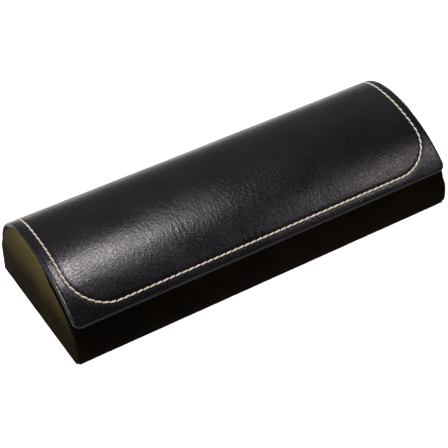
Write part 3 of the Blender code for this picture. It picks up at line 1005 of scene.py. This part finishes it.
def plate(outline, inner, outer, rounding, segments=3):
    """An outline in the YZ plane drawn out along X, both rims rounded by (inner, outer) amounts."""
    shape = bmesh.new()
    face = shape.faces.new([shape.verts.new((inner, y, z)) for y, z in outline])
    drawn = bmesh.ops.extrude_face_region(shape, geom=[face])
    moved = [part for part in drawn["geom"] if isinstance(part, bmesh.types.BMVert)]
    bmesh.ops.translate(shape, verts=moved, vec=(outer - inner, 0, 0))
    bmesh.ops.recalc_face_normals(shape, faces=shape.faces)
    for side, amount in zip((inner, outer), rounding):
        rim = [e for e in shape.edges if all(abs(v.co.x - side) < 0.01 * MM for v in e.verts)]
        if amount:
            bmesh.ops.bevel(
                shape, geom=rim, offset=amount, affect="EDGES", segments=segments, profile=0.5, material=-1
            )
    return shape


print("points round a corner of the tray:", len(curve_points(BACK_CORNER, CORNER_RADIUS, -math.pi / 2, 0)))

# %% [markdown]
# The wrapper's outline runs anticlockwise from the back corner. It lies inside the tray's skins, which are
# turned on to it, and inside the closed lid, which clears it by a hair. Where the hinge leather passes, the
# end reaches out to meet it.

# %% Wrap the end boards
WRAP_DEPTH = 0.55 * MM  # the wrapper lies inside the skins that are turned on to it
RIM_GAP = 0.05 * MM
WRAP_INNER = 79.2 * MM
WRAP_OUTER = LID_HALF - RIM_GAP
WRAP_ROUND = 0.3 * MM
WRAP_LEATHER = 0.25 * MM
HINGE_STEP = math.radians(1)
under_lid = RIM_DEPTH + RIM_GAP
lip_clear = 1.6 * MM / LIP_RADIUS

wrap_outline = (
    curve_points(BACK_CORNER, CORNER_RADIUS - WRAP_DEPTH, -math.pi / 2, 0)
    + curve_points(BACK_CENTRE, BACK_SKIN_RADIUS - WRAP_DEPTH, 0, HINGE_START)
    + curve_points(BACK_CENTRE, BACK_SKIN_RADIUS - RIM_GAP, HINGE_START + HINGE_STEP, HINGE_END - HINGE_STEP)
    + curve_points(BACK_CENTRE, BACK_RADIUS - under_lid, HINGE_END + HINGE_STEP, BACK_SWEEP)
    + curve_points(LID_CENTRE, LID_RADIUS - under_lid, BACK_SWEEP, LIP_ANGLE - lip_clear)[1:]
    + curve_points(LID_CENTRE, LIP_RADIUS - WRAP_DEPTH, LIP_ANGLE, ON_LIP)
    + curve_points(FRONT_CENTRE, FRONT_RADIUS - WRAP_DEPTH, ON_FRONT, CORNER_ANGLE)[1:]
    + curve_points(FRONT_CORNER, CORNER_RADIUS - WRAP_DEPTH, CORNER_ANGLE, 1.5 * math.pi)[1:]
)
for side, sign in (("left", -1), ("right", 1)):
    shape = plate(wrap_outline, sign * WRAP_INNER, sign * WRAP_OUTER, (WRAP_ROUND, WRAP_ROUND))
    wrap = thicken(as_object("end_wrapper_" + side, shape, tray_skin, sharp=40), WRAP_LEATHER)
    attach(wrap, "case")
    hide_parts("end_wrap_" + side)
print("end wrappers:", len(wrap_outline), "points round")

# %% [markdown]
# The olive panel reaches the base and the back, stays a little inside the lid's edge over the top, and is
# cut back behind the flap. Three short tables say how far it is inset along each arc, in degrees and
# millimetres.

# %% The olive panels
OVER_BACK = [(0, 1.0), (15, 1.9), (31, 2.5), (45, 2.3), (60, 1.6), (85.2, 1.2)]
OVER_TOP = [(85.2, 1.2), (100, 1.4), (105, 1.9), (109, 3.3), (112, 4.8), (130, 5.0)]
DOWN_FRONT = [(136, 2.3), (150, 1.9), (159, 1.3), (168, 0.4), (190, 0.2)]
PANEL_EDGE = 0.3 * MM
PANEL_CORNER = 1.0 * MM
PANEL_ROUND = 0.42 * MM
PANEL_UNDER_LIP = 2.3 * MM
TOE_SET_BACK = 0.4 * MM


def inset_at(angle, table):
    degrees = math.degrees(angle)
    for (left, low_inset), (right, high_inset) in zip(table, table[1:]):
        if degrees <= right:
            share = max((degrees - left) / (right - left), 0)
            return (low_inset + (high_inset - low_inset) * share * share * (3 - 2 * share)) * MM
    return table[-1][1] * MM


def inset_curve(centre, radius, start, end, table, steps=26):
    angles = [start + (end - start) * i / steps for i in range(steps + 1)]
    return [polar(centre, radius - inset_at(angle, table), angle) for angle in angles]


panel_front, panel_lip = crossing(PANEL_UNDER_LIP)
foot = (TRAY_BACK_Y - PANEL_CORNER, PANEL_EDGE + PANEL_CORNER)
toe = (FRONT_CORNER[0] + TOE_SET_BACK, PANEL_EDGE + PANEL_CORNER)
panel_outline = (
    curve_points(foot, PANEL_CORNER, -math.pi / 2, 0)
    + [(TRAY_BACK_Y, HINGE_LOW_Z)]
    + inset_curve(BACK_CENTRE, BACK_RADIUS, 0, BACK_SWEEP, OVER_BACK)
    + inset_curve(LID_CENTRE, LID_RADIUS, BACK_SWEEP, panel_lip, OVER_TOP)[1:]
    + inset_curve(FRONT_CENTRE, FRONT_RADIUS, panel_front, CORNER_ANGLE - 0.04, DOWN_FRONT)[1:]
    + curve_points(toe, PANEL_CORNER, math.radians(200), 1.5 * math.pi)
)
for side, sign in (("left", -1), ("right", 1)):
    shape = plate(panel_outline, sign * LID_HALF, sign * HALF_LENGTH, (0, PANEL_ROUND), 4)
    panel = as_object("olive_panel_" + side, shape, olive, sharp=40)
    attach(panel, "case")
    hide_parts("end_panel_" + side)
print("olive panels:", len(panel_outline), "points round")

# %% [markdown]
# ## The velvet
#
# Inside, the tray has one moulded lining: floor, front, back and both ends in one piece with soft corners.
# Five flat sheets would meet in hard creases that a pressed lining doesn't have. So it is a closed prism with
# its mouth taken off, its inside corners rounded with a bevel and its thickness put on the outside.

# %% Moulded lining of the tray
LINING_DEPTH = 2.8 * MM
VELVET = 0.35 * MM
TUB_HALF = 78.75 * MM
TUB_ROUND = 1.6 * MM
RIM_SHOWN = 3.0 * MM  # how much wrapped board shows above the velvet at the ends
tub_front, tub_lip = crossing(LINING_DEPTH)
tub_back_radius = BACK_SKIN_RADIUS - LINING_DEPTH
tub_foot = math.pi + math.asin((FRONT_CENTRE[1] - LINING_DEPTH) / (FRONT_RADIUS - LINING_DEPTH))
lip_start = LIP_ANGLE + 0.5 * TURN_IN / LIP_UNDER

inside = (
    curve_points(LID_CENTRE, LIP_RADIUS - LINING_DEPTH, lip_start, tub_lip, 2 * MM)
    + curve_points(FRONT_CENTRE, FRONT_RADIUS - LINING_DEPTH, tub_front, tub_foot, 2 * MM)[1:]
    + [(TRAY_BACK_Y - LINING_DEPTH, LINING_DEPTH)]
    + curve_points(BACK_CENTRE, tub_back_radius, 0, math.radians(11), 1 * MM)
)
mouth = (
    curve_points(BACK_CENTRE, BACK_RADIUS - under_lid - RIM_SHOWN, math.radians(40), BACK_SWEEP, 2 * MM)
    + curve_points(LID_CENTRE, LID_RADIUS - under_lid - RIM_SHOWN, BACK_SWEEP, LIP_ANGLE, 2 * MM)[1:]
)
tub = plate(inside + mouth, -TUB_HALF, TUB_HALF, (0, 0))
bmesh.ops.reverse_faces(tub, faces=tub.faces)
opening = []
for face in tub.faces:
    spots = {(round(v.co.y, 6), round(v.co.z, 6)) for v in face.verts}
    if len(spots) == 2 and spots & {(round(y, 6), round(z, 6)) for y, z in mouth}:
        opening.append(face)
bmesh.ops.delete(tub, geom=opening, context="FACES")
corners = [e for e in tub.edges if len(e.link_faces) == 2 and e.calc_face_angle() > math.radians(35)]
bmesh.ops.bevel(
    tub, geom=corners, offset=TUB_ROUND, affect="EDGES", segments=5, profile=0.5, material=-1
)
tray_lining = thicken(as_object("tray_lining", tub, velvet_lining, sharp=50), VELVET, even=False)
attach(tray_lining, "case")
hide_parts("base_lining", "back_lining", "front_lining", "end_lining_left", "end_lining_right")
girth = sum(math.dist(spot, after) for spot, after in zip(inside, inside[1:]))
print("tray lining:", len(tray_lining.data.polygons), "faces")

# %% [markdown]
# The lid has its own lining, inside its turned edge, and a strip of the same velvet hides the bare leather of
# the hinge. Both lie under the lid's leather, so they are grids rolled on the lid's own section, at a
# height below it.

# %% Lining of the lid and of the hinge
LID_LINING_INSET = 2.65 * MM
LID_LINING_HEIGHT = -2.3 * MM
PILE_ROUND = 0.35 * MM
STRIP_HALF = 78.4 * MM
VELVET_DRIFT = 0.03 * MM


def inner_sheet(name, half, start, end, height_at, spacing=1.6 * MM):
    """Velvet under the lid, between two distances along the lid's section, facing into the case."""
    rounding = [0.0, 0.12 * PILE_ROUND, 0.5 * PILE_ROUND]

    def lines(low_end, high_end):
        core = spread(low_end + PILE_ROUND, high_end - PILE_ROUND, spacing)
        return [low_end + r for r in rounding] + core + [high_end - r for r in reversed(rounding)]

    def place(x, run):
        edge = min(half - abs(x), run - start, end - run, PILE_ROUND) / PILE_ROUND
        fall = PILE_ROUND * (1 - math.sqrt(max(1 - (1 - edge) ** 2, 0)))
        drift = VELVET_DRIFT * noise.noise(Vector((x * 90, run * 110, half * 900)))
        return -x, run, height_at(run) + fall + drift * edge

    shape = roll(cut_sheet(lines(-half, half), lines(start, end), place), LID_SECTION)
    return thicken(as_object(name, shape, velvet_lining), VELVET)


def run_at(angle):
    """Distance along the lid's section to an angle on its back arc."""
    return LID_RADIUS * LID_SWEEP + BACK_RADIUS * (BACK_SWEEP - angle)


def cut_length(section, start, end, height_at):
    """How long a strip is cut flat, when it follows a section at its own height above or below it."""
    spots = [on_section(section, run, height_at(run)) for run in spread(start, end, 0.5 * MM)]
    return sum(math.dist(spot, after) for spot, after in zip(spots, spots[1:]))


def lid_lining_height(run):
    return LID_LINING_HEIGHT


LID_VELVET_HALF = LID_HALF - LID_LINING_INSET
LID_VELVET_END = HINGE_RUN - 0.4 * MM
lid_lining = inner_sheet("lid_velvet", LID_VELVET_HALF, LID_LINING_INSET, LID_VELVET_END, lid_lining_height)
lid_velvet_length = cut_length(LID_SECTION, LID_LINING_INSET, LID_VELVET_END, lid_lining_height)
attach(lid_lining, "lid")
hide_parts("lid_lining")

STRIP_START = run_at(math.radians(48))
STRIP_END = run_at(math.radians(8))
STRIP_HEIGHTS = (LID_LINING_HEIGHT - VELVET, -4.05 * MM)


def strip_height(run):
    share = (run - STRIP_START) / (STRIP_END - STRIP_START)
    return STRIP_HEIGHTS[0] + (STRIP_HEIGHTS[1] - STRIP_HEIGHTS[0]) * share * share * (3 - 2 * share)


hinge_strip = inner_sheet("hinge_velvet", STRIP_HALF, STRIP_START, STRIP_END, strip_height, 0.8 * MM)
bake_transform(hinge_strip)
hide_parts("hinge_lining")
strip_length = cut_length(LID_SECTION, STRIP_START, STRIP_END, strip_height)
print("lid velvet and hinge strip cut to, mm:", round(lid_velvet_length / MM, 1), round(strip_length / MM, 1))
print("lid lining and hinge strip:", len(lid_lining.data.polygons), len(hinge_strip.data.polygons), "faces")

# %% [markdown]
# ## Floor
#
# The floor is not part of the case. It is a plain matt sheet, wide enough to fill every view, and it lies a
# hair below the base so that the two never share a plane.

# %% Floor
FLOOR_SIZE = 3.0
FLOOR_GAP = 0.2 * MM
PAPER_WHITE = (0.9, 0.9, 0.9, 1)
floor_shape = bmesh.new()
bmesh.ops.create_grid(floor_shape, x_segments=1, y_segments=1, size=FLOOR_SIZE)
floor_finish = Finish("pale_floor")
floor = as_object("floor", floor_shape, floor_finish.surface(Base_Color=PAPER_WHITE, Roughness=0.9))
floor.location.z = -FLOOR_GAP
print("floor, m:", 2 * FLOOR_SIZE)

# %% [markdown]
# ## Finish
